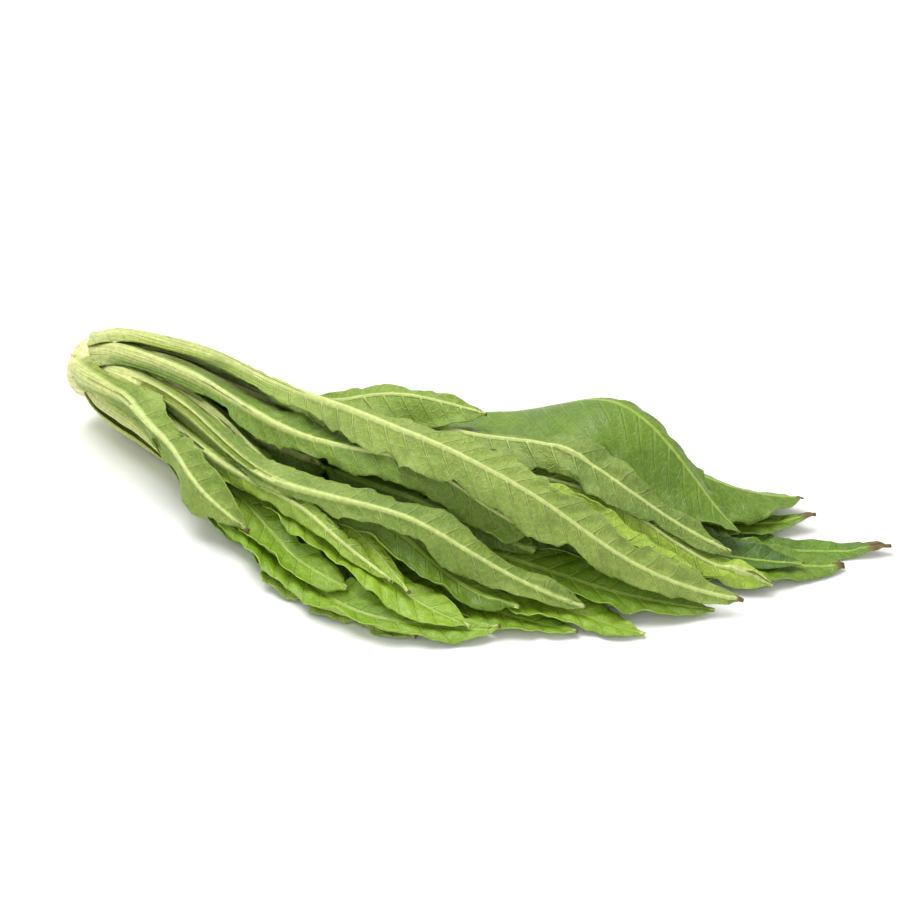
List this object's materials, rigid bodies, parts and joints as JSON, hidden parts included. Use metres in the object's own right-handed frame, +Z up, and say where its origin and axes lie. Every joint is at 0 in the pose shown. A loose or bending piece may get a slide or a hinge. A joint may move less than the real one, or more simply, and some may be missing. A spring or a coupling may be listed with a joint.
{
  "type": "head of leaf lettuce",
  "caption": "Cut head of leaf lettuce with long pointed leaves, lying on its side: pale ribbed stalks spread from a short cut stem into a fan of wavy green blades",
  "frame": {"origin": "on the surface that the head lies on, under the middle of its bounding box", "axes": "+X from the cut stem to the leaf tips, +Y across the fan to its far side, +Z up from the surface"},
  "size_m": [0.3668, 0.1934, 0.0613],
  "materials": {
    "stem": "matt, moist cut stem",
    "over_leaf": "satin leaf back, pale midrib",
    "under_leaf": "satin leaf, pale midrib"
  },
  "bodies": {
    "root": {"stem": "stem", "leaf_crest": "over_leaf", "leaf_near_short": "over_leaf", "leaf_far_arched": "over_leaf", "leaf_near_broad": "over_leaf", "leaf_far_ribbed": "over_leaf", "leaf_near_ribbed": "over_leaf", "leaf_upright": "over_leaf", "leaf_near_narrow": "over_leaf", "leaf_far_folded": "over_leaf", "leaf_near_inner": "over_leaf", "leaf_far_upright": "over_leaf", "leaf_small_near": "over_leaf", "leaf_far_inner": "over_leaf", "leaf_heart": "over_leaf", "leaf_under_far_long": "under_leaf", "leaf_under_near_outer": "under_leaf", "leaf_under_far_outer": "under_leaf", "leaf_near_bent": "under_leaf", "leaf_under_middle": "under_leaf", "leaf_under_far_edge": "under_leaf", "leaf_under_near": "under_leaf", "leaf_under_far": "under_leaf", "leaf_under_tip": "under_leaf", "leaf_under_far_inner": "under_leaf", "leaf_under_near_inner": "under_leaf", "leaf_under_pale": "under_leaf", "leaf_under_inner": "under_leaf", "leaf_under_small": "under_leaf"}
  },
  "joints": []
}
